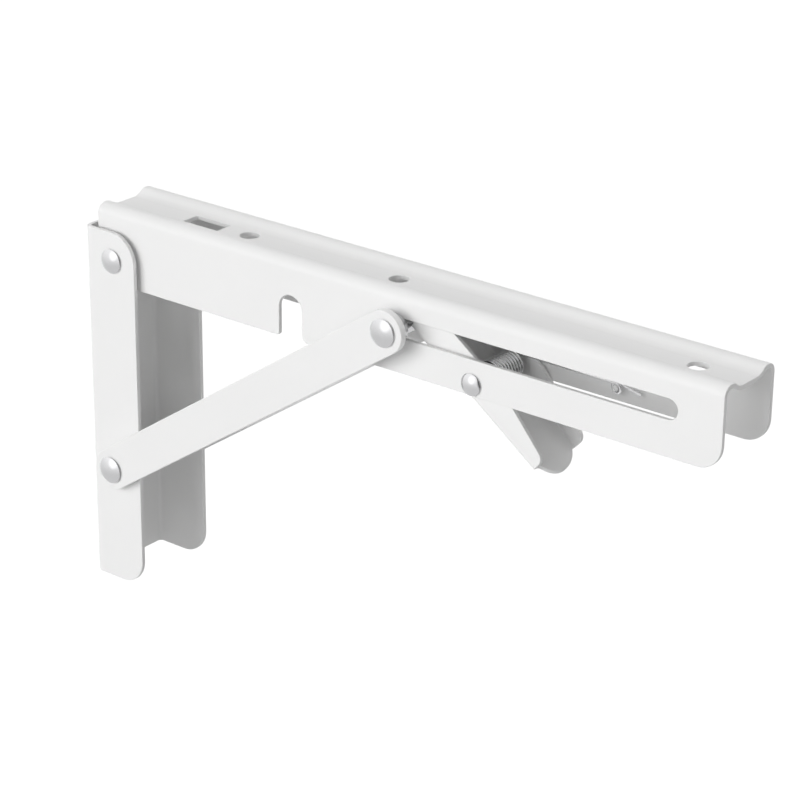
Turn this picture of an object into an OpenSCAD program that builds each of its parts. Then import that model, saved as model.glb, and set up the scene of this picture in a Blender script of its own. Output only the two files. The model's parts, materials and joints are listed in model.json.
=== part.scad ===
// Folding shelf bracket: a wall leg, a shelf arm that folds down over it, two braces
// whose top ends slide along slots in the arm, and a sprung lever that locks them.
// The back of the leg lies on the plane x = 0, and the main pivot crosses it at z = 0.
// The arm points along +x, and the bracket is the same on both sides of y = 0.

/* [Sheet steel] */
// Thickness of the bent sheet in the leg, the arm and the lever
sheet_t = 1.8; // [1.6:0.1:2.0]

/* [Wall leg] */
// Width over the two flanges
leg_w = 39.6; // [39.4:0.2:42]
// Distance of both leg pivots from the wall
pivot_wall = 15.1; // [15:0.1:17]
// Radius of the rounded top of the flanges, about the main pivot
leg_top_r = 12; // [11:0.5:13]
// How far the leg reaches below the main pivot
leg_drop = 142; // [138:0.5:150]
// Radius of the lower front corners of the flanges
leg_corner_r = 11.5; // [6:0.5:13]
// Outside radius of the bends between the back and the flanges
leg_bend_r = 3.5; // [3:0.5:5]
// Radius of the wall screw holes
wall_hole_r = 3.5; // [2.5:0.25:4]
// Depths of the wall screw holes below the main pivot
wall_hole_drops = [28, 62, 122]; // [20:1:130]

/* [Shelf arm] */
// Reach of the arm from the wall
arm_reach = 300; // [292:1:320]
// Gap between the wall and the back end of the arm
arm_back = 4.6; // [4:0.2:6]
// Width over the two flanges
arm_w = 32.4; // [31:0.2:32.8]
// Height of the arm from its lower edges to the shelf
arm_h = 32.2; // [31:0.1:33]
// Height of the shelf above the main pivot
arm_rise = 21; // [20:0.5:22]
// Outside radius of the long bends of the arm
arm_bend_r = 4; // [3:0.25:4.25]
// Width of the flat crest beside each bend
crest_w = 1; // [0.5:0.25:1.5]
// Depth of the long valley pressed into the top
valley_depth = 2.5; // [1.5:0.25:3]
// Width of the flat bottom of the valley
valley_flat = 9; // [8.5:0.5:10]
// Radius of the lower front corners of the flanges
tip_corner_r = 10; // [6:1:12]
// Radius of the lower back corners, which swing past the back of the leg
heel_corner_r = 8; // [8:0.5:10]
// Distances of the shelf screw holes from the wall
shelf_hole_xs = [71.3, 145.9, 278.8]; // [65:0.1:285]
// Radius of the shelf screw holes
shelf_hole_r = 3.9; // [2.5:0.1:4]
// Distance of the locating window from the wall
window_x = 40; // [38:0.2:44]
// Length of the locating window
window_l = 17.9; // [14:0.1:20]
// Width of the locating window
window_w = 8.2; // [6:0.2:8.4]
// Half the width of the notches that pass the brace rivet
notch_half_w = 5.6; // [5.2:0.2:6]

/* [Braces and slot] */
// Distance between the two pivots of the leg
pivot_gap = 90; // [88:0.5:92]
// Length of a brace between its two eyes
brace_len = 172.3; // [171:0.1:174]
// Width of a brace
brace_w = 17.5; // [15:0.5:18]
// Thickness of a brace
brace_t = 3; // [2.5:0.1:3]
// Height of the slot's middle above the main pivot
slot_rise = 7; // [6.5:0.1:7.5]
// Half the height of the slots
slot_r = 4; // [3.5:0.1:4.2]

/* [Rivets] */
// Shank radius of the main rivet
main_shank_r = 3; // [2.5:0.25:3.5]
// Head radius of the main rivet
main_head_r = 5.2; // [5:0.1:6]
// Shank radius of the brace and slot rivets
brace_shank_r = 3.25; // [3:0.25:3.25]
// Head radius of the brace and slot rivets
brace_head_r = 5.7; // [5.5:0.1:6.5]
// Shank radius of the lever rivet
lever_shank_r = 2.5; // [2:0.25:2.75]
// Head radius of the lever rivet
lever_head_r = 4.45; // [4:0.05:5]
// Height of the rivets' domed heads
head_h = 2.2; // [1.6:0.1:2.6]

/* [Release lever] */
// Distance of the lever rivet from the wall
lever_x = 192.7; // [191.2:0.1:195]
// Depth of the lever rivet below the main pivot
lever_drop = 6.6; // [6.4:0.1:7]
// Slope of the lever at rest, falling towards its tail
lever_slope = 36; // [34:0.2:37]
// Width over the lever's side plates
lever_w = 27.4; // [27:0.2:27.6]
// Distance from the rivet to the outside of the lever's back
lever_back = 7.1; // [6.9:0.1:7.3]
// Distance from the rivet to the top edge of the side plates
lever_top = 7.2; // [6.8:0.1:7.4]
// Swing radius of the nose that locks the slot pin
nose_r = 33.4; // [32.6:0.1:33.6]
// Length of the side plates from the rivet to the tail end
tail_l = 38.3; // [37.4:0.1:38.9]
// Length of the thumb tongue from the rivet to its tip
tongue_l = 43.4; // [42.4:0.1:44.4]
// Angle by which the thumb tongue bends away from the side plates
tongue_dip = 14; // [8:1:18]

/* [Torsion spring] */
// Diameter of the spring wire
wire_d = 1.3; // [1:0.1:1.4]
// Radius of the coil at the middle of the wire
coil_r = 5; // [4.5:0.05:5.05]
// Number of turns between the two legs
coil_turns = 9.4; // [7.4:1:9.4]

/* [Hidden] */
$fn = 64;

// Two sides of the bracket: the near one has negative y
NEAR = -1;
FAR = 1;

// Clearances
run_gap = 0.05;         // radial gap of a shank in a bore that turns on it
side_gap = 0.15;        // gap beside a piece that turns against a washer or a head
past = 1;               // how far a cutting shape runs past the surface that it cuts

// Leg
leg_half = leg_w / 2;
leg_depth = pivot_wall + leg_top_r;

// Arm
arm_half = arm_w / 2;
arm_low = arm_rise - arm_h;
bend_y = arm_half - arm_bend_r;
swage_y = bend_y - crest_w;
// The side of the valley is two equal arcs that meet at this slope
swage_angle = 2 * atan(valley_depth / (swage_y - valley_flat / 2));
swage_sum = (swage_y - valley_flat / 2) / sin(swage_angle);
hollow_r = swage_sum - arm_bend_r;
notch_x = pivot_wall + pivot_gap + 0.7;
notch_z = 1;            // the round end of the notch lies a little above the pivot
notch_back_r = 1.5;
notch_front_r = 3;

// Layers beside the arm, from the middle outwards
washer_in = arm_half + side_gap;
brace_washer_out = leg_half + 1.2;
brace_in = brace_washer_out + side_gap;
brace_out = brace_in + brace_t;
bush_r = slot_r - run_gap;
bush_collar_r = 5.8;
bush_collar_out = arm_half + 2.55;
spacer_in = bush_collar_out + 0.3;
washer_r = 6;
brace_sleeve_r = 4;

// Linkage: how far the slot pin lies from the main pivot, arm open and arm folded
pin_open = sqrt(pow(brace_len, 2) - pow(pivot_gap + slot_rise, 2));
pin_folded = pivot_gap + sqrt(pow(brace_len, 2) - pow(slot_rise, 2));
slot_x0 = pivot_wall + pin_open - 0.1;
slot_x1 = pivot_wall + pin_folded + 0.3;
brace_tilt = atan2(pivot_gap + slot_rise, pin_open);

// Lever, drawn lying along +x with its rivet at the origin
lever_bend_r = 2.3;
nose_corner_r = 2.5;
nose_corner_z = lever_top - nose_corner_r;
nose_corner_x = -sqrt(pow(nose_r - nose_corner_r, 2) - pow(nose_corner_z, 2));
taper_x = 8.8;          // where the side plates begin to taper towards the tail
tip_r = 3.8;
tip_x = tail_l - tip_r;
tip_z = -2.9;
// Direction of the taper, which runs on to touch the round tip
taper_run = [tip_x - taper_x, tip_z - lever_top];
taper_angle = atan2(taper_run[1], taper_run[0]) + asin(tip_r / norm(taper_run));
tongue_r = 12;
tongue_root = tail_l - 0.4;
tongue_x = tongue_l - tongue_root - tongue_r;
tongue_bend_r = 12;     // radius of the bend, on the inside of the sheet
fillet_r = 2;
fillet_x = fillet_r;
fillet_y = sqrt(pow(tongue_r + fillet_r, 2) - pow(fillet_x - tongue_x, 2));

// Spring: its coil hangs a little above the middle of the lever rivet
coil_lift = 0.55;
coil_y0 = -5.8;
coil_y1 = 9;
coil_x = lever_x + coil_lift * sin(lever_slope);
coil_z = -lever_drop + coil_lift * cos(lever_slope);
// Angle at which the wire joins the coil from the leg that lies on the lever
coil_start = -90 - lever_slope;
lever_leg_l = 24;
// Small stud on the arm's far flange, which the eye of the long leg hooks on
stud_x = 237.2;
stud_z = -5;
stud_r = 1.15;
stud_in = arm_half - sheet_t - 3.1;
eye_r = stud_r + wire_d / 2 + 0.1;
eye_y = stud_in + 0.4;
tail_end = [247.5, eye_y + 1.5, -5.4];
wire_sides = 8;
coil_steps = 18;        // rings in one turn of the coil

// A bore along y through everything near it
module cross_bore(x, z, r) {
    translate([x, 0, z]) rotate([90, 0, 0]) cylinder(h = 2 * leg_w, r = r, center = true);
}

// A ring or disc around an axis along y, from y0 to y1
module ring_y(x, z, y0, y1, r) {
    translate([x, y0, z]) rotate([-90, 0, 0]) cylinder(h = y1 - y0, r = r);
}

// Domed rivet head that stands on the plane z = 0
module dome(r) {
    cap_r = (pow(r, 2) + pow(head_h, 2)) / (2 * head_h);
    rotate_extrude() intersection() {
        translate([0, head_h - cap_r]) circle(cap_r, $fn = 128);
        square([r, head_h]);
    }
}

// A rivet head on the outside face at distance y0 of one side
module side_head(x, z, side, y0, r) {
    translate([x, side * y0, z]) rotate([-90 * side, 0, 0]) dome(r);
}

// A rivet that crosses the bracket, with a domed head at each end
module cross_rivet(x, z, half_l, shank_r, head_r) {
    ring_y(x, z, -half_l, half_l, shank_r);
    side_head(x, z, NEAR, half_l, head_r);
    side_head(x, z, FAR, half_l, head_r);
}

// A washer from y0 to y1 on one side
module washer(x, z, side, y0, y1, r, bore_r) {
    difference() {
        ring_y(x, z, min(side * y0, side * y1), max(side * y0, side * y1), r);
        cross_bore(x, z, bore_r);
    }
}

// Points along an arc, from angle a0 to angle a1
function arc(centre, r, a0, a1, steps) = [for (i = [0 : steps])
    centre + r * [cos(a0 + (a1 - a0) * i / steps), sin(a0 + (a1 - a0) * i / steps)]];

// Rectangle from a low corner to a high one
module box2(low, high) {
    translate(low) square(high - low);
}

// Plan section of the leg, or of its hollow when inset by the sheet's thickness
module leg_section(inset) {
    r = leg_bend_r - inset;
    half = leg_half - inset;
    box2([leg_bend_r, -half], [leg_depth + past * inset, half]);
    box2([inset, r - half], [leg_depth, half - r]);
    for (side = [NEAR, FAR])
        translate([leg_bend_r, side * (half - r)]) circle(r);
}

// Side view of the leg, in x and z
module leg_outline() {
    box2([0, -leg_drop], [pivot_wall, leg_top_r]);
    box2([0, leg_corner_r - leg_drop], [leg_depth, 0]);
    box2([0, -leg_drop], [leg_depth - leg_corner_r, leg_corner_r]);
    translate([pivot_wall, 0]) circle(leg_top_r, $fn = 128);
    translate([leg_depth - leg_corner_r, leg_corner_r - leg_drop]) circle(leg_corner_r, $fn = 96);
}

module wall_channel() {
    color("whitesmoke") difference() {
        intersection() {
            translate([0, 0, -leg_drop]) linear_extrude(leg_drop + leg_top_r) difference() {
                leg_section(0);
                leg_section(sheet_t);
            }
            rotate([90, 0, 0]) linear_extrude(leg_w + past, center = true) leg_outline();
        }
        cross_bore(pivot_wall, 0, main_shank_r);
        cross_bore(pivot_wall, -pivot_gap, brace_shank_r);
        for (drop = wall_hole_drops)
            translate([-past, 0, -drop]) rotate([0, 90, 0]) cylinder(h = sheet_t + 2 * past, r = wall_hole_r);
    }
}

// End view of the arm, in y and z, or of its hollow when inset by the sheet's thickness
module arm_section(inset) {
    r = arm_bend_r - inset;
    half = arm_half - inset;
    bend_z = arm_rise - arm_bend_r;
    difference() {
        union() {
            box2([-half, arm_low - past * inset], [half, bend_z]);
            box2([-bend_y, bend_z], [bend_y, arm_rise - inset]);
            for (side = [NEAR, FAR])
                translate([side * bend_y, bend_z]) circle(r);
        }
        valley_section(inset);
    }
}

// What the long valley takes out of the top of the arm's section
module valley_section(inset) {
    crest_r = arm_bend_r - inset;
    bed_r = hollow_r + inset;
    top_z = arm_rise - inset;
    bed_z = arm_rise - valley_depth - inset;
    meet_y = swage_y - crest_r * sin(swage_angle);
    meet_z = arm_rise - arm_bend_r + crest_r * cos(swage_angle);
    flat_y = valley_flat / 2;
    difference() {
        union() {
            polygon([[-swage_y, top_z], [-swage_y, top_z + past], [swage_y, top_z + past],
                [swage_y, top_z], [meet_y, meet_z], [flat_y, bed_z], [-flat_y, bed_z], [-meet_y, meet_z]]);
            for (side = [NEAR, FAR])
                intersection() {
                    translate([side * flat_y, bed_z + bed_r]) circle(bed_r, $fn = 128);
                    box2([min(side * flat_y, side * meet_y), bed_z - past],
                        [max(side * flat_y, side * meet_y), meet_z]);
                }
        }
        for (side = [NEAR, FAR])
            translate([side * swage_y, arm_rise - arm_bend_r]) circle(crest_r);
    }
}

// Notch for the brace rivet, with rounded corners at its mouth
module notch_outline() {
    translate([notch_x, notch_z]) circle(notch_half_w);
    box2([notch_x - notch_half_w, arm_low - past], [notch_x + notch_half_w, notch_z]);
    mouth_corner(notch_x - notch_half_w, -1, notch_back_r);
    mouth_corner(notch_x + notch_half_w, 1, notch_front_r);
}

module mouth_corner(x, way, r) {
    difference() {
        box2([min(x, x + way * r), arm_low - past], [max(x, x + way * r), arm_low + r]);
        translate([x + way * r, arm_low + r]) circle(r);
    }
}

// Side view of the arm, in x and z
module arm_outline() {
    heel_x = arm_back + heel_corner_r;
    tip_corner_x = arm_reach - tip_corner_r;
    difference() {
        union() {
            box2([heel_x, arm_low], [tip_corner_x, arm_rise]);
            box2([arm_back, arm_low + heel_corner_r], [heel_x + past, arm_rise]);
            box2([tip_corner_x - past, arm_low + tip_corner_r], [arm_reach, arm_rise]);
            translate([heel_x, arm_low + heel_corner_r]) circle(heel_corner_r, $fn = 96);
            translate([tip_corner_x, arm_low + tip_corner_r]) circle(tip_corner_r, $fn = 96);
        }
        notch_outline();
        slot_outline();
    }
}

// Long slot in each flange, in which the slot pin slides
module slot_outline() {
    box2([slot_x0, slot_rise - slot_r], [slot_x1, slot_rise + slot_r]);
    translate([slot_x0, slot_rise]) circle(slot_r);
    translate([slot_x1, slot_rise]) circle(slot_r);
}

module shelf_channel() {
    color("whitesmoke") {
        difference() {
            intersection() {
                rotate([90, 0, 90]) linear_extrude(arm_reach) difference() {
                    arm_section(0);
                    arm_section(sheet_t);
                }
                rotate([90, 0, 0]) linear_extrude(arm_w + past, center = true) arm_outline();
            }
            cross_bore(pivot_wall, 0, main_shank_r + run_gap);
            cross_bore(lever_x, -lever_drop, lever_shank_r);
            for (x = shelf_hole_xs)
                translate([x, 0, arm_rise / 2]) cylinder(h = arm_rise, r = shelf_hole_r);
            translate([window_x, -window_w / 2, arm_rise / 2]) cube([window_l, window_w, arm_rise]);
        }
        ring_y(stud_x, stud_z, stud_in, arm_half - sheet_t, stud_r);
    }
}

module main_rivet() {
    color("silver") cross_rivet(pivot_wall, 0, leg_half, main_shank_r, main_head_r);
}

module main_washer(side) {
    color("silver")
        washer(pivot_wall, 0, side, washer_in, leg_half - sheet_t, washer_r, main_shank_r);
}

module brace_rivet() {
    color("silver")
        cross_rivet(pivot_wall, -pivot_gap, brace_out + side_gap, brace_shank_r, brace_head_r);
}

// Tube that holds the leg's flanges apart, and passes up the notch when the arm is folded
module brace_sleeve() {
    color("silver") difference() {
        ring_y(pivot_wall, -pivot_gap, sheet_t - leg_half, leg_half - sheet_t, brace_sleeve_r);
        cross_bore(pivot_wall, -pivot_gap, brace_shank_r);
    }
}

module brace_washer(side) {
    color("silver")
        washer(pivot_wall, -pivot_gap, side, leg_half, brace_washer_out, washer_r, brace_shank_r);
}

module lever_rivet() {
    color("silver") cross_rivet(lever_x, -lever_drop, arm_half, lever_shank_r, lever_head_r);
}

// Flat brace with round ends, drawn along +x from its lower eye
module brace(side) {
    inner = min(side * brace_in, side * brace_out);
    color("whitesmoke") translate([pivot_wall, inner, -pivot_gap]) rotate([0, -brace_tilt, 0])
        translate([0, brace_t, 0]) rotate([90, 0, 0]) linear_extrude(brace_t) difference() {
            union() {
                box2([0, -brace_w / 2], [brace_len, brace_w / 2]);
                circle(d = brace_w, $fn = 96);
                translate([brace_len, 0]) circle(d = brace_w, $fn = 96);
            }
            circle(brace_shank_r + run_gap);
            translate([brace_len, 0]) circle(brace_shank_r);
        }
}

// Outer end of the slot rivet, which holds the brace's upper eye
module slot_rivet(side) {
    x = pivot_wall + pin_open;
    color("silver") {
        ring_y(x, slot_rise, min(side * spacer_in, side * brace_out),
            max(side * spacer_in, side * brace_out), brace_shank_r);
        side_head(x, slot_rise, side, brace_out, brace_head_r);
    }
}

// Spacer between the brace and the collar of the slot bush
module slot_spacer(side) {
    color("silver")
        washer(pivot_wall + pin_open, slot_rise, side, spacer_in, brace_in, washer_r, brace_shank_r);
}

// Bush that slides in the slot, with a collar outside the flange
module slot_bush(side) {
    x = pivot_wall + pin_open;
    collar_in = arm_half + side_gap;
    flange_in = arm_half - sheet_t;
    color("silver") {
        ring_y(x, slot_rise, min(side * flange_in, side * collar_in),
            max(side * flange_in, side * collar_in), bush_r);
        ring_y(x, slot_rise, min(side * collar_in, side * bush_collar_out),
            max(side * collar_in, side * bush_collar_out), bush_collar_r);
    }
}

// End view of the lever, in y and z, or of its hollow when inset by the sheet's thickness
module lever_section(inset) {
    r = lever_bend_r - inset;
    half = lever_w / 2 - inset;
    back = lever_back - inset;
    box2([-half, r - back], [half, lever_top + past * inset]);
    box2([r - half, -back], [half - r, 0]);
    for (side = [NEAR, FAR])
        translate([side * (half - r), r - back]) circle(r);
}

// Side view of the lever's plates, from the nose that swings about the rivet to the round tip
module lever_outline() {
    nose_angle = atan2(nose_corner_z, nose_corner_x);
    polygon(concat(
        arc([0, 0], nose_r, 180 + asin(lever_back / nose_r), nose_angle, 8),
        arc([nose_corner_x, nose_corner_z], nose_corner_r, nose_angle, 90, 8),
        [[taper_x, lever_top]],
        arc([tip_x, tip_z], tip_r, 90 + taper_angle, 0, 12),
        [[tongue_root, -lever_back]]));
}

// Round thumb tongue, drawn from its root, which the lever's back carries past the side plates
module tongue_outline() {
    touch_angle = atan2(fillet_y, fillet_x - tongue_x);
    polygon(concat(
        [[-past, -fillet_y]],
        arc([fillet_x, -fillet_y], fillet_r, 180, 180 - touch_angle, 6),
        arc([tongue_x, 0], tongue_r, -touch_angle, touch_angle, 24),
        arc([fillet_x, fillet_y], fillet_r, 180 + touch_angle, 180, 6),
        [[-past, fillet_y]]));
}

// Side view of the tongue: sheet that bends down and runs on straight past the tongue's tip
module tongue_section() {
    bend = [0, -tongue_bend_r];
    way = [cos(tongue_dip), -sin(tongue_dip)];
    under = bend + tongue_bend_r * [way[1] * -1, way[0]] + tongue_r * way;
    over = under + sheet_t * [way[1] * -1, way[0]];
    polygon(concat(
        [[-past, 0]],
        arc(bend, tongue_bend_r, 90, 90 - tongue_dip, 6),
        [under, over],
        arc(bend, tongue_bend_r + sheet_t, 90 - tongue_dip, 90, 6),
        [[-past, sheet_t]]));
}

module release_lever() {
    color("whitesmoke") translate([lever_x, 0, -lever_drop]) rotate([0, lever_slope, 0]) difference() {
        union() {
            intersection() {
                translate([-nose_r - past, 0, 0]) rotate([90, 0, 90])
                    linear_extrude(nose_r + tail_l + 2 * past) difference() {
                        lever_section(0);
                        lever_section(sheet_t);
                    }
                rotate([90, 0, 0]) linear_extrude(lever_w + past, center = true) lever_outline();
            }
            translate([tongue_root, 0, -lever_back]) intersection() {
                rotate([90, 0, 0]) linear_extrude(lever_w, center = true) tongue_section();
                translate([0, 0, -tongue_r]) linear_extrude(2 * tongue_r) tongue_outline();
            }
        }
        cross_bore(0, 0, lever_shank_r + run_gap);
    }
}

// Points along the spring wire, from the leg on the lever to the end past the eye
function on_coil(a, y) = [coil_x + coil_r * cos(a), y, coil_z + coil_r * sin(a)];
function on_lever(along, y, up) = [
    lever_x + along * cos(lever_slope) + up * sin(lever_slope), y,
    -lever_drop - along * sin(lever_slope) + up * cos(lever_slope)];
coil_rings = round(coil_turns * coil_steps);
coil_path = [for (i = [0 : coil_rings]) on_coil(coil_start - i * coil_turns * 360 / coil_rings,
    coil_y0 + (coil_y1 - coil_y0) * i / coil_rings)];
eye_path = [for (a = [90 : -20 : -270]) [stud_x + eye_r * cos(a),
    eye_y + wire_d * (90 - a) / 360, stud_z + eye_r * sin(a)]];
lever_leg = [on_lever(lever_leg_l, coil_y0 - 0.3, wire_d / 2 - lever_back + sheet_t + 0.15),
    on_lever(lever_leg_l / 2, coil_y0 - 0.15, coil_lift - coil_r - 0.02)];
wire_path = concat(lever_leg, coil_path, eye_path, [tail_end]);

// A round wire swept along a path that never runs along y
function unit(v) = v / norm(v);
function heading(path, i) = unit(path[min(i + 1, len(path) - 1)] - path[max(i - 1, 0)]);
function side_of(t) = unit([0, 1, 0] - t[1] * t);
function wire_ring(at, t, r) = [for (k = [0 : wire_sides - 1])
    at + r * cos(k * 360 / wire_sides) * side_of(t) + r * sin(k * 360 / wire_sides) * cross(t, side_of(t))];
module wire(path, d) {
    rings = [for (i = [0 : len(path) - 1]) each wire_ring(path[i], heading(path, i), d / 2)];
    last = (len(path) - 1) * wire_sides;
    faces = concat(
        [[for (k = [0 : wire_sides - 1]) k]],
        [[for (k = [wire_sides - 1 : -1 : 0]) last + k]],
        [for (i = [0 : len(path) - 2], k = [0 : wire_sides - 1]) let (
            a = i * wire_sides + k,
            b = i * wire_sides + (k + 1) % wire_sides)
            [a, a + wire_sides, b + wire_sides, b]]);
    polyhedron(rings, faces);
}

module torsion_spring() {
    color("gainsboro") wire(wire_path, wire_d);
}

wall_channel();
main_rivet();
main_washer(NEAR);  // main_washer_near
main_washer(FAR);  // main_washer_far
brace_rivet();
brace_sleeve();
brace_washer(NEAR);  // brace_washer_near
brace_washer(FAR);  // brace_washer_far
shelf_channel();
lever_rivet();
torsion_spring();
brace(NEAR);  // brace_near
brace(FAR);  // brace_far
slot_rivet(NEAR);  // slot_rivet_near
slot_rivet(FAR);  // slot_rivet_far
slot_spacer(NEAR);  // slot_spacer_near
slot_spacer(FAR);  // slot_spacer_far
slot_bush(NEAR);  // slot_bush_near
slot_bush(FAR);  // slot_bush_far
release_lever();
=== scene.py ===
"""White folding shelf bracket, open and locked, over a pale studio floor.

Every solid of the frame is replaced by a finished piece of the same size and place.
Lengths are in millimetres where a name ends in _mm, and in metres elsewhere.
"""
import json
import math

import bpy
from mathutils import Matrix, Vector

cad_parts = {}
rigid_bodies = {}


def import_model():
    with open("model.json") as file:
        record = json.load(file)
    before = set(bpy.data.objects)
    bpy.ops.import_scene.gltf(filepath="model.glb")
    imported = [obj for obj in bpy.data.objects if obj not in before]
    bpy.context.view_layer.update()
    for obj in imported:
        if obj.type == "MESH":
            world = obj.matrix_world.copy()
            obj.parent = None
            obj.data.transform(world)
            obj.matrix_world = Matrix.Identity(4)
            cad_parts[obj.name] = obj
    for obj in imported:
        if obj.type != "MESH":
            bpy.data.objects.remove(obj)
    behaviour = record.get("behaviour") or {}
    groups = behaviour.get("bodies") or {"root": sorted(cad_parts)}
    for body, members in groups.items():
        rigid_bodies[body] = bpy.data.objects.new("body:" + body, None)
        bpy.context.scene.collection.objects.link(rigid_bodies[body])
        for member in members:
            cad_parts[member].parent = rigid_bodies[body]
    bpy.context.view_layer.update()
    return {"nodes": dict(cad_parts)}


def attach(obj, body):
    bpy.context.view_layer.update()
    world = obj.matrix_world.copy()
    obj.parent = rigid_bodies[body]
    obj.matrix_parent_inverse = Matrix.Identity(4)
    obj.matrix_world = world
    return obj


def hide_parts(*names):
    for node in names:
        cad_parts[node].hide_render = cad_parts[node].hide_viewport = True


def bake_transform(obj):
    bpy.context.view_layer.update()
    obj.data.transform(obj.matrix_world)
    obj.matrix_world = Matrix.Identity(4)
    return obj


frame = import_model()

MM = 0.001
NEAR = -1
FAR = 1


# Camera, at the photograph's viewing angle

CAMERA_AIM_MM = (150.5, -4.6, -28.2)
CAMERA_AZIMUTH = math.radians(38.28)
CAMERA_ELEVATION = math.radians(23.19)
CAMERA_ROLL = math.radians(0.60)
CAMERA_DISTANCE_MM = 1049
CAMERA_LENS_MM = 124.4
CAMERA_FILM_MM = 36


def place_camera():
    """Camera that looks at the middle of the bracket from the right and above."""
    back = Vector((math.sin(CAMERA_AZIMUTH) * math.cos(CAMERA_ELEVATION),
                   -math.cos(CAMERA_AZIMUTH) * math.cos(CAMERA_ELEVATION),
                   math.sin(CAMERA_ELEVATION)))
    right = Vector((math.cos(CAMERA_AZIMUTH), math.sin(CAMERA_AZIMUTH), 0))
    upright = Matrix((right, back.cross(right), back)).transposed()
    data = bpy.data.cameras.new("camera")
    data.lens = CAMERA_LENS_MM
    data.sensor_width = CAMERA_FILM_MM
    data.clip_start = 0.01
    camera = bpy.data.objects.new("camera", data)
    bpy.context.scene.collection.objects.link(camera)
    place = Vector(CAMERA_AIM_MM) * MM + back * CAMERA_DISTANCE_MM * MM
    turned = upright @ Matrix.Rotation(CAMERA_ROLL, 3, "Z")
    camera.matrix_world = Matrix.Translation(place) @ turned.to_4x4()
    bpy.context.scene.camera = camera


# Sizes shared by rivets, spring and finishes

# Pivots along Y, each as its place in X and Z
MAIN_PIVOT_MM = (15.1, 0.0)
BRACE_PIVOT_MM = (15.1, -90.0)
SLOT_PIN_MM = (157.5, 7.0)
LEVER_PIVOT_MM = (192.7, -6.6)
LEVER_SLOPE = math.radians(36)

# Torsion spring, with its coil round the lever rivet and its eye round the stud on the arm
WIRE_MM = 1.3
COIL_R_MM = 5.0
COIL_TURNS = 9.4
COIL_Y_MM = (-5.8, 9.0)
COIL_LIFT_MM = 0.55
STUD_MM = (237.2, -5.0)
EYE_R_MM = 1.9
EYE_Y_MM = 11.7
WIRE_END_MM = (247.5, 13.2, -5.4)


def on_lever(along, y, up):
    """Point beside the lever rivet, measured along the lever and square to it."""
    return Vector((LEVER_PIVOT_MM[0] + along * math.cos(LEVER_SLOPE) + up * math.sin(LEVER_SLOPE), y,
                   LEVER_PIVOT_MM[1] - along * math.sin(LEVER_SLOPE) + up * math.cos(LEVER_SLOPE)))


def coil_axis(y_mm):
    """Point on the axis of the spring's coil."""
    return on_lever(0, y_mm, COIL_LIFT_MM)


# Nodes of materials and of the world

# The Mix node's sockets for numbers and for colours: first, second, result
MIX_SOCKETS = {"FLOAT": (2, 3, 0), "RGBA": (6, 7, 2)}


def feed(tree, value, socket):
    """Links one socket to another, or sets it to a number or a colour."""
    if isinstance(value, bpy.types.NodeSocket):
        tree.links.new(value, socket)
    else:
        socket.default_value = value


def math_node(tree, operation, first, second=0.0):
    """Math node whose inputs are sockets or numbers."""
    node = tree.nodes.new("ShaderNodeMath")
    node.operation = operation
    feed(tree, first, node.inputs[0])
    feed(tree, second, node.inputs[1])
    return node.outputs[0]


def mix_node(tree, kind, mask, first, second, blend="MIX"):
    """First input where the mask is 0, and the blend with the second where it is 1."""
    node = tree.nodes.new("ShaderNodeMix")
    node.data_type = kind
    node.blend_type = blend
    start, end, result = MIX_SOCKETS[kind]
    feed(tree, mask, node.inputs["Factor"])
    feed(tree, first, node.inputs[start])
    feed(tree, second, node.inputs[end])
    return node.outputs[result]


def noise_node(tree, place, scale, detail):
    """Noise over the object's own coordinates, scale in waves per metre."""
    node = tree.nodes.new("ShaderNodeTexNoise")
    feed(tree, place, node.inputs["Vector"])
    feed(tree, scale, node.inputs["Scale"])
    feed(tree, detail, node.inputs["Detail"])
    return node.outputs["Fac"]


def placed_group(tree, group, values):
    """Node group placed in a tree, with its own values."""
    node = tree.nodes.new("ShaderNodeGroup")
    node.node_tree = group
    for key, value in values.items():
        feed(tree, value, node.inputs[key])
    return node


def seen_directly(tree):
    """1 for rays straight from the camera or through something clear, and 0 for all others."""
    path = tree.nodes.new("ShaderNodeLightPath")
    return math_node(tree, "MAXIMUM", path.outputs["Is Camera Ray"], path.outputs["Is Transmission Ray"])


# Node groups that the finishes share

def new_group(name, inputs, outputs):
    """Empty node group with number inputs, by name and default, and named outputs."""
    group = bpy.data.node_groups.new(name, "ShaderNodeTree")
    for key, default in inputs.items():
        socket = group.interface.new_socket(key, in_out="INPUT", socket_type="NodeSocketFloat")
        socket.default_value = default
    for key in outputs:
        group.interface.new_socket(key, in_out="OUTPUT", socket_type="NodeSocketFloat")
    place = group.nodes.new("ShaderNodeTexCoord").outputs["Object"]
    return group, group.nodes.new("NodeGroupInput").outputs, group.nodes.new("NodeGroupOutput").inputs, place


def surface_grain_group():
    """Fine height and slow variation, which every finish of the bracket shares."""
    group, given, result, place = new_group(
        "surface_grain",
        {"Fine Scale": 900.0, "Slow Scale": 35.0, "Roughness": 0.4,
         "Roughness Spread": 0.05, "Shade Spread": 0.02},
        ("Height", "Roughness", "Shade"))
    fine = noise_node(group, place, given["Fine Scale"], 3)
    slow = noise_node(group, place, given["Slow Scale"], 2)
    swing = math_node(group, "SUBTRACT", slow, 0.5)
    rough = math_node(group, "MULTIPLY", swing, given["Roughness Spread"])
    shade = math_node(group, "MULTIPLY", swing, given["Shade Spread"])
    feed(group, fine, result["Height"])
    feed(group, math_node(group, "ADD", rough, given["Roughness"]), result["Roughness"])
    feed(group, math_node(group, "ADD", shade, 1.0), result["Shade"])
    return group


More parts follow.
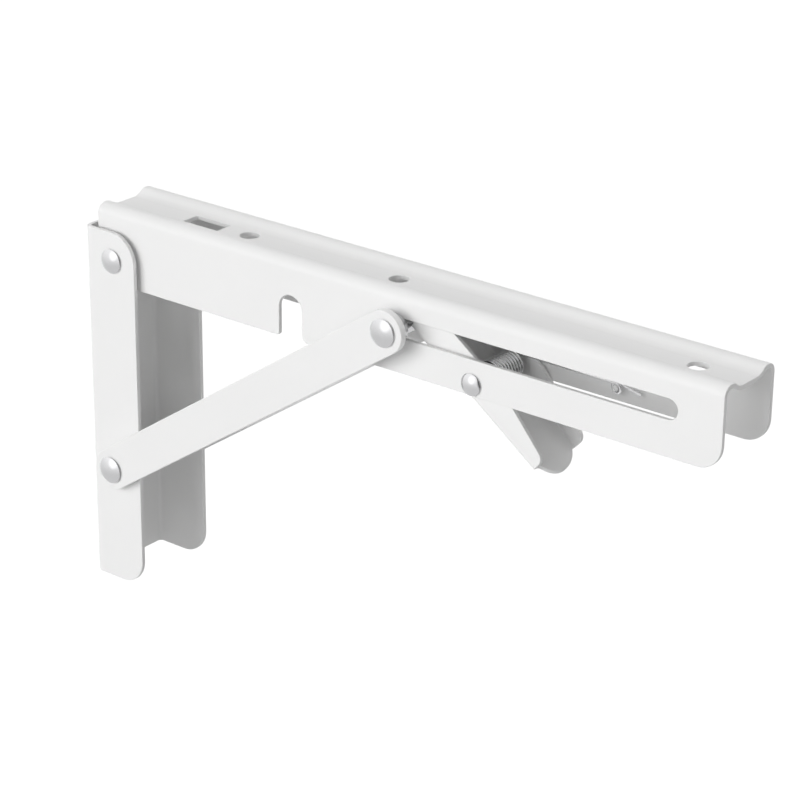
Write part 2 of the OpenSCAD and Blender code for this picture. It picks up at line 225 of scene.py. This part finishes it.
def coil_groove_shade_mask_group():
    """Mask for the painted shade of a coil along Y: 1 in the grooves and inside the coil, and 0 on the
    crests of its turns and outside.
    """
    group, given, result, place = new_group(
        "coil_groove",
        {"Axis X": 0.0, "Axis Z": 0.0, "Groove Radius": 0.0, "Crest Radius": 0.0},
        ("Groove",))
    split = group.nodes.new("ShaderNodeSeparateXYZ")
    feed(group, place, split.inputs[0])
    across = math_node(group, "SUBTRACT", split.outputs["X"], given["Axis X"])
    up = math_node(group, "SUBTRACT", split.outputs["Z"], given["Axis Z"])
    squares = [math_node(group, "MULTIPLY", side, side) for side in (across, up)]
    radius = math_node(group, "SQRT", math_node(group, "ADD", *squares))
    fade = group.nodes.new("ShaderNodeMapRange")
    for key, value in {"Value": radius, "From Min": given["Groove Radius"],
                       "From Max": given["Crest Radius"], "To Min": 1.0, "To Max": 0.0}.items():
        feed(group, value, fade.inputs[key])
    feed(group, fade.outputs["Result"], result["Groove"])
    return group


# Finishes

# Painted shade on the spring: full up to the groove radius from the coil's axis, gone at the crest radius,
# near black
GROOVE_R_MM = 5.1
CREST_R_MM = 5.45
GROOVE_PAINTED_SHADE = (0.05, 0.05, 0.05, 1)


def principled_tree(material):
    """Emptied node tree of a material, with its Principled shader and output joined."""
    material.use_nodes = True
    tree = material.node_tree
    tree.nodes.clear()
    shader = tree.nodes.new("ShaderNodeBsdfPrincipled")
    output = tree.nodes.new("ShaderNodeOutputMaterial")
    tree.links.new(shader.outputs["BSDF"], output.inputs["Surface"])
    return tree, shader


def paint_groove_shade(tree, colour):
    """Colour of the wire, darkened to near black by painted shade between the turns of the spring and inside
    its coil.
    """
    axis = coil_axis(0)
    groove = placed_group(tree, coil_groove_shade_mask_group(), {
        "Axis X": axis.x * MM, "Axis Z": axis.z * MM,
        "Groove Radius": GROOVE_R_MM * MM, "Crest Radius": CREST_R_MM * MM})
    return mix_node(tree, "RGBA", groove.outputs["Groove"], colour, GROOVE_PAINTED_SHADE)


def finish_material(name, colour, grain, grain_values, bump_mm, shader_values, shade=None):
    """Finish built on the shared grain, with its own colour, roughness and bump, and painted shade in its
    colour where shade is given.
    """
    material = bpy.data.materials.new(name)
    tree, shader = principled_tree(material)
    group = placed_group(tree, grain, grain_values)
    tinted = mix_node(tree, "RGBA", 1.0, (*colour, 1.0), group.outputs["Shade"], blend="MULTIPLY")
    feed(tree, shade(tree, tinted) if shade else tinted, shader.inputs["Base Color"])
    feed(tree, group.outputs["Roughness"], shader.inputs["Roughness"])
    bump = tree.nodes.new("ShaderNodeBump")
    feed(tree, 1.0, bump.inputs["Strength"])
    feed(tree, bump_mm * MM, bump.inputs["Distance"])
    feed(tree, group.outputs["Height"], bump.inputs["Height"])
    feed(tree, bump.outputs["Normal"], shader.inputs["Normal"])
    for key, value in shader_values.items():
        feed(tree, value, shader.inputs[key])
    return material


def make_finishes():
    """The bracket's three finishes, by material slot of the record."""
    grain = surface_grain_group()
    return {
        "white_coat": finish_material(
            "satin_powder_coat", (0.89, 0.89, 0.887), grain,
            {"Fine Scale": 750.0, "Slow Scale": 40.0, "Roughness": 0.42,
             "Roughness Spread": 0.10, "Shade Spread": 0.03},
            bump_mm=0.006, shader_values={"Specular IOR Level": 0.5}),
        "bright_plating": finish_material(
            "bright_nickel_plating", (0.70, 0.70, 0.71), grain,
            {"Fine Scale": 1400.0, "Slow Scale": 250.0, "Roughness": 0.10,
             "Roughness Spread": 0.05, "Shade Spread": 0.08},
            bump_mm=0.003, shader_values={"Metallic": 1.0}),
        # The wire's colour carries painted shade between the turns and inside the coil
        "spring_wire": finish_material(
            "bright_drawn_wire", (0.92, 0.92, 0.93), grain,
            {"Fine Scale": 2500.0, "Slow Scale": 300.0, "Roughness": 0.16,
             "Roughness Spread": 0.08, "Shade Spread": 0.10},
            bump_mm=0.002, shader_values={"Metallic": 1.0}, shade=paint_groove_shade),
    }


# Helpers for pieces

SHARP_ANGLE = math.radians(35)
SMOOTH_ANGLE = math.radians(50)
EDGE_SEGMENTS = 3


def pick(piece):
    """Selects one object alone and makes it active."""
    for other in bpy.context.view_layer.objects:
        other.select_set(False)
    piece.select_set(True)
    bpy.context.view_layer.objects.active = piece


def dress(piece, slot, *nodes):
    """Gives a piece the finish of a material slot, and hides the CAD nodes that it stands for."""
    piece.data.materials.clear()
    piece.data.materials.append(finishes[slot])
    if nodes:
        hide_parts(*nodes)


def smooth(piece, angle=SMOOTH_ANGLE):
    """Smooth shading up to an angle between faces."""
    pick(piece)
    bpy.ops.object.shade_smooth_by_angle(angle=angle)


def apply_modifiers(piece):
    """Applies every modifier of a piece in order."""
    pick(piece)
    for modifier in list(piece.modifiers):
        bpy.ops.object.modifier_apply(modifier=modifier.name)


# Pieces of sheet, and small turned pieces without a head

CHANNEL_EDGE_MM = 0.3
BRACE_EDGE_MM = 0.4
SMALL_EDGE_MM = 0.2
MERGE_MM = 0.002
FLAT_ANGLE = math.radians(0.3)
PLAIN_REACH_MM = 0.02

# Middles of the two edges where the thumb tongue runs out of the lever's back, along and above the
# lever rivet. The sheet goes on flat there, and a rounded edge would leave a crease.
TONGUE_ROOT_MM = ((38.071, -5.3), (38.071, -5.303))


def merge_triangles(piece):
    """Joins the loose triangles of a CAD mesh, and the flat ones into whole faces."""
    pick(piece)
    bpy.ops.object.mode_set(mode="EDIT")
    bpy.ops.mesh.select_all(action="SELECT")
    bpy.ops.mesh.remove_doubles(threshold=MERGE_MM * MM)
    bpy.ops.mesh.customdata_custom_splitnormals_clear()
    bpy.ops.mesh.dissolve_limited(angle_limit=FLAT_ANGLE, delimit=set())
    bpy.ops.object.mode_set(mode="OBJECT")


def weigh_edges(piece, plain):
    """Bevel weight on the sharp edges of a piece, except on those whose middle is a plain point."""
    bpy.ops.object.mode_set(mode="EDIT")
    bpy.ops.mesh.select_mode(type="EDGE")
    bpy.ops.mesh.select_all(action="DESELECT")
    bpy.ops.mesh.edges_select_sharp(sharpness=SHARP_ANGLE)
    bpy.ops.transform.edge_bevelweight(value=1)
    bpy.ops.object.mode_set(mode="OBJECT")
    mesh = piece.data
    weights = mesh.attributes["bevel_weight_edge"].data
    for edge in mesh.edges:
        first, last = (mesh.vertices[index].co for index in edge.vertices)
        middle = (first + last) / 2
        if any((middle - point).length < PLAIN_REACH_MM * MM for point in plain):
            weights[edge.index].value = 0


def rounded_piece(node, body, slot, edge_mm, plain=()):
    """Copy of a CAD node with its cut edges rounded, as coating and tumbling leave them."""
    source = frame["nodes"][node]
    piece = bpy.data.objects.new(node + "_finished", source.data.copy())
    bpy.context.scene.collection.objects.link(piece)
    merge_triangles(piece)
    weigh_edges(piece, plain)
    bevel = piece.modifiers.new("edges", "BEVEL")
    bevel.width = edge_mm * MM
    bevel.segments = EDGE_SEGMENTS
    bevel.limit_method = "WEIGHT"
    bevel.use_clamp_overlap = False
    apply_modifiers(piece)
    smooth(piece)
    weighted = piece.modifiers.new("normals", "WEIGHTED_NORMAL")
    weighted.keep_sharp = True
    apply_modifiers(piece)
    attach(piece, body)
    dress(piece, slot, node)


def make_channels():
    """Wall leg, shelf arm and release lever, each a folded channel."""
    rounded_piece("wall_channel", "wall", "white_coat", CHANNEL_EDGE_MM)
    rounded_piece("shelf_channel", "arm", "white_coat", CHANNEL_EDGE_MM)
    rounded_piece("release_lever", "lever", "white_coat", CHANNEL_EDGE_MM,
                  plain=[on_lever(along, 0, up) * MM for along, up in TONGUE_ROOT_MM])


def make_side(side):
    """Brace of one side, with the rings on its rivets."""
    rounded_piece("brace_" + side, "brace", "white_coat", BRACE_EDGE_MM)
    rounded_piece("slot_spacer_" + side, "brace", "bright_plating", SMALL_EDGE_MM)
    rounded_piece("slot_bush_" + side, "slider", "bright_plating", SMALL_EDGE_MM)
    rounded_piece("main_washer_" + side, "wall", "bright_plating", SMALL_EDGE_MM)
    rounded_piece("brace_washer_" + side, "wall", "bright_plating", SMALL_EDGE_MM)


# Rivets

# Half widths at which heads sit or shanks end. The brace rivet's heads leave the braces room to turn.
ARM_OUT_MM = 16.2
LEG_OUT_MM = 19.8
BRACE_OUT_MM = 24.15
BRACE_HEAD_OUT_MM = 24.3
SPACER_IN_MM = 19.05
SHAFT_OUT_MM = 14.39

# Radius of the shank and of the head
MAIN_RIVET_MM = (3, 5.2)
BRACE_RIVET_MM = (3.25, 5.7)
LEVER_RIVET_MM = (2.5, 4.45)
SHAFT_R_MM = 3.95

HEAD_HEIGHT_MM = 2.2
RIM_HEIGHT_MM = 0.6
UNDERCUT_MM = 0.55
DOME_RINGS = 11
DOME_TOP = 0.4
HEAD_EDGE_MM = 0.12
SHAFT_EDGE_MM = 0.15
TURNED_SIDES = 64


def dome_rings(radius):
    """Radius and height of each ring of a domed head above its rim, up to a small flat top."""
    rise = HEAD_HEIGHT_MM - RIM_HEIGHT_MM
    ball = (radius ** 2 + rise ** 2) / (2 * rise)
    sweep = math.asin(radius / ball)
    for step in range(1, DOME_RINGS + 1):
        angle = sweep * (1 - step / (DOME_RINGS + DOME_TOP))
        yield ball * math.sin(angle), RIM_HEIGHT_MM + ball * math.cos(angle) - ball + rise


def select_end(piece, side):
    """Selects the end face of a turned piece, and leaves edit mode on."""
    bpy.ops.object.mode_set(mode="EDIT")
    bpy.ops.mesh.select_mode(type="FACE")
    bpy.ops.mesh.select_all(action="DESELECT")
    bpy.ops.object.mode_set(mode="OBJECT")
    end = max(piece.data.polygons, key=lambda face: side * face.center.y)
    end.select = True
    bpy.ops.object.mode_set(mode="EDIT")


def form_head(piece, centre, side, shank_mm, head_mm):
    """Spreads the end of a shank into a domed head, whose rim stands a little clear of the sheet."""
    pick(piece)
    select_end(piece, side)
    seat_mm = head_mm - UNDERCUT_MM
    spread = seat_mm / shank_mm
    flare = head_mm / seat_mm
    bpy.ops.mesh.extrude_region_move()
    bpy.ops.transform.resize(value=(spread, 1, spread), center_override=centre)
    bpy.ops.mesh.extrude_region_move(TRANSFORM_OT_translate={"value": (0, side * RIM_HEIGHT_MM * MM, 0)})
    bpy.ops.transform.resize(value=(flare, 1, flare), center_override=centre)
    last_radius, last_height = head_mm, RIM_HEIGHT_MM
    for radius, height in dome_rings(head_mm):
        bpy.ops.mesh.inset(thickness=(last_radius - radius) * MM, depth=(height - last_height) * MM)
        last_radius, last_height = radius, height
    bpy.ops.object.mode_set(mode="OBJECT")


def plain_shank(name, pivot_mm, low_mm, high_mm, radius_mm):
    """Plain shank along Y, from one end to the other."""
    middle = Vector((pivot_mm[0], (low_mm + high_mm) / 2, pivot_mm[1])) * MM
    bpy.ops.mesh.primitive_cylinder_add(
        vertices=TURNED_SIDES, radius=radius_mm * MM, depth=(high_mm - low_mm) * MM,
        location=middle, rotation=(math.radians(90), 0, 0))
    piece = bpy.context.object
    piece.name = name
    pick(piece)
    bpy.ops.object.transform_apply(location=True, rotation=True, scale=True)
    return piece


def round_rims(piece, edge_mm):
    """Takes the sharpness off the rims of a turned piece."""
    bevel = piece.modifiers.new("rims", "BEVEL")
    bevel.width = edge_mm * MM
    bevel.segments = EDGE_SEGMENTS
    bevel.limit_method = "ANGLE"
    bevel.angle_limit = SHARP_ANGLE
    apply_modifiers(piece)
    smooth(piece)


def rivet(node, body, pivot_mm, ends_mm, radii_mm, heads):
    """Rivet with a domed head at each end that heads names."""
    shank_mm, head_mm = radii_mm
    low_mm, high_mm = ends_mm
    piece = plain_shank(node + "_finished", pivot_mm, low_mm, high_mm, shank_mm)
    for side in heads:
        centre = Vector((pivot_mm[0], high_mm if side == FAR else low_mm, pivot_mm[1])) * MM
        form_head(piece, centre, side, shank_mm, head_mm)
    round_rims(piece, HEAD_EDGE_MM)
    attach(piece, body)
    dress(piece, "bright_plating", node)


def make_rivets():
    """Three rivets that cross the bracket, and the two outer ends of the slot rivet."""
    for node, body, pivot_mm, out_mm, radii_mm in (
            ("main_rivet", "wall", MAIN_PIVOT_MM, LEG_OUT_MM, MAIN_RIVET_MM),
            ("brace_rivet", "wall", BRACE_PIVOT_MM, BRACE_HEAD_OUT_MM, BRACE_RIVET_MM),
            ("lever_rivet", "arm", LEVER_PIVOT_MM, ARM_OUT_MM, LEVER_RIVET_MM)):
        rivet(node, body, pivot_mm, (-out_mm, out_mm), radii_mm, (NEAR, FAR))
    rivet("slot_rivet_near", "brace", SLOT_PIN_MM, (-BRACE_OUT_MM, -SPACER_IN_MM), BRACE_RIVET_MM, (NEAR,))
    rivet("slot_rivet_far", "brace", SLOT_PIN_MM, (SPACER_IN_MM, BRACE_OUT_MM), BRACE_RIVET_MM, (FAR,))


def make_slot_shaft():
    """Shaft that joins the two slot bushes across the inside of the arm."""
    piece = plain_shank("slot_pin_shaft", SLOT_PIN_MM, -SHAFT_OUT_MM, SHAFT_OUT_MM, SHAFT_R_MM)
    round_rims(piece, SHAFT_EDGE_MM)
    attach(piece, "slider")
    dress(piece, "bright_plating")


# Torsion spring

# Leg that lies on the lever's back: distance along it, place beside the coil, height above the rivet
LEVER_LEG_MM = ((24, -0.3, -4.48), (14.4, -0.2, -4.47), (6, -0.1, -4.46))
TURN_STEPS = 40
EYE_STEPS = 28
WIRE_ROUNDNESS = 4
WIRE_SMOOTH_ANGLE = math.radians(60)


def spring_path():
    """Middle line of the wire, from the leg on the lever to the end past the eye."""
    near_y, far_y = COIL_Y_MM
    path = [on_lever(along, near_y + aside, up) for along, aside, up in LEVER_LEG_MM]
    start = -math.pi / 2 - LEVER_SLOPE
    steps = int(COIL_TURNS * TURN_STEPS)
    for step in range(steps + 1):
        share = step / steps
        angle = start - share * COIL_TURNS * 2 * math.pi
        path.append(coil_axis(near_y + (far_y - near_y) * share)
                    + COIL_R_MM * Vector((math.cos(angle), 0, math.sin(angle))))
    for step in range(EYE_STEPS + 1):
        share = step / EYE_STEPS
        angle = math.pi / 2 - share * 2 * math.pi
        path.append(Vector((STUD_MM[0] + EYE_R_MM * math.cos(angle), EYE_Y_MM + WIRE_MM * share,
                            STUD_MM[1] + EYE_R_MM * math.sin(angle))))
    path.append(Vector(WIRE_END_MM))
    return path


def make_spring():
    """Round wire wound as the spring, which twists between the arm and the lever."""
    data = bpy.data.curves.new("torsion_spring_finished", "CURVE")
    data.dimensions = "3D"
    data.bevel_depth = WIRE_MM / 2 * MM
    data.bevel_resolution = WIRE_ROUNDNESS
    data.use_fill_caps = True
    path = spring_path()
    spline = data.splines.new("POLY")
    spline.points.add(len(path) - 1)
    for point, place in zip(spline.points, path):
        point.co = (*(place * MM), 1)
    piece = bpy.data.objects.new("torsion_spring_finished", data)
    bpy.context.scene.collection.objects.link(piece)
    pick(piece)
    bpy.ops.object.convert(target="MESH")
    piece = bpy.context.object
    smooth(piece, WIRE_SMOOTH_ANGLE)
    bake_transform(piece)
    dress(piece, "spring_wire", "torsion_spring")


# Studio

# What metal reflects: direction, angles from it at which the light is full and has faded, strength
BELOW_STRENGTH = 0.78
CEILING = ((0, 0, 1), 70, 130, 1.2)
SOFTBOX = ((-0.24, -0.93, 0.26), 6, 30, 1.55)
DARK_SIDE = ((0.97, -0.17, 0.17), 45, 62, 0.1)

# Even light on all that isn't metal
EVEN_STRENGTH = 0.265

# Lamps: name, direction that the light comes from, strength, width in degrees
LAMPS = (
    ("key", (-0.35, -0.92, 0.12), 2.80, 60),
    ("top", (0.0, 0.45, 0.85), 1.05, 60),
    ("right", (0.78, -0.62, 0.10), 0.15, 30))

# The floor lies below the folded arm. Its glow lifts its grey to white where the camera sees it.
FLOOR_Z_MM = -330
FLOOR_SIZE = 12
FLOOR_COLOUR = (0.65, 0.65, 0.65, 1)
FLOOR_ROUGHNESS = 0.9
FLOOR_GLOW = 0.60
WHITE = (1, 1, 1, 1)


def make_lamp(name, direction, strength, width):
    """Soft lamp far away, with its light coming from a direction."""
    data = bpy.data.lights.new(name, "SUN")
    data.energy = strength
    data.angle = math.radians(width)
    light = bpy.data.objects.new(name, data)
    bpy.context.scene.collection.objects.link(light)
    light.rotation_mode = "QUATERNION"
    light.rotation_quaternion = Vector(direction).to_track_quat("Z", "Y")
    light.visible_glossy = False


def facing(tree, direction, inner, outer):
    """1 towards a direction of the world, which fades to 0 between two angles from it."""
    place = tree.nodes.new("ShaderNodeTexCoord").outputs["Generated"]
    dot = tree.nodes.new("ShaderNodeVectorMath")
    dot.operation = "DOT_PRODUCT"
    feed(tree, place, dot.inputs[0])
    feed(tree, Vector(direction).normalized(), dot.inputs[1])
    fade = tree.nodes.new("ShaderNodeMapRange")
    fade.interpolation_type = "SMOOTHSTEP"
    feed(tree, math.cos(math.radians(outer)), fade.inputs["From Min"])
    feed(tree, math.cos(math.radians(inner)), fade.inputs["From Max"])
    feed(tree, dot.outputs["Value"], fade.inputs["Value"])
    return fade.outputs["Result"]


def make_world():
    """White background, weak even light, and the bright and dark sides that metal reflects."""
    world = bpy.data.worlds.new("studio")
    bpy.context.scene.world = world
    world.use_nodes = True
    tree = world.node_tree
    tree.nodes.clear()
    room = BELOW_STRENGTH
    for direction, inner, outer, strength in (CEILING, SOFTBOX, DARK_SIDE):
        room = mix_node(tree, "FLOAT", facing(tree, direction, inner, outer), room, strength)
    path = tree.nodes.new("ShaderNodeLightPath")
    unseen = mix_node(tree, "FLOAT", path.outputs["Is Glossy Ray"], EVEN_STRENGTH, room)
    light = tree.nodes.new("ShaderNodeBackground")
    feed(tree, WHITE, light.inputs["Color"])
    feed(tree, mix_node(tree, "FLOAT", seen_directly(tree), unseen, 1.0), light.inputs["Strength"])
    output = tree.nodes.new("ShaderNodeOutputWorld")
    tree.links.new(light.outputs[0], output.inputs["Surface"])


def make_floor():
    """Pale floor, which keeps the bracket's soft shadow."""
    bpy.ops.mesh.primitive_plane_add(size=FLOOR_SIZE, location=(0, 0, FLOOR_Z_MM * MM))
    floor = bpy.context.object
    floor.name = "floor"
    floor.visible_glossy = False
    material = bpy.data.materials.new("floor")
    tree, shader = principled_tree(material)
    for key, value in {"Base Color": FLOOR_COLOUR, "Roughness": FLOOR_ROUGHNESS,
                       "Specular IOR Level": 0, "Emission Color": WHITE}.items():
        feed(tree, value, shader.inputs[key])
    glow = math_node(tree, "MULTIPLY", seen_directly(tree), FLOOR_GLOW)
    feed(tree, glow, shader.inputs["Emission Strength"])
    floor.data.materials.append(material)


def make_studio():
    """World, floor and lamps."""
    make_world()
    make_floor()
    for row in LAMPS:
        make_lamp(*row)
    bpy.context.scene.view_settings.view_transform = "Standard"


# Whole bracket

finishes = make_finishes()
place_camera()
make_channels()
for side in ("near", "far"):
    make_side(side)
rounded_piece("brace_sleeve", "wall", "bright_plating", SMALL_EDGE_MM)
make_rivets()
make_slot_shaft()
make_spring()
make_studio()
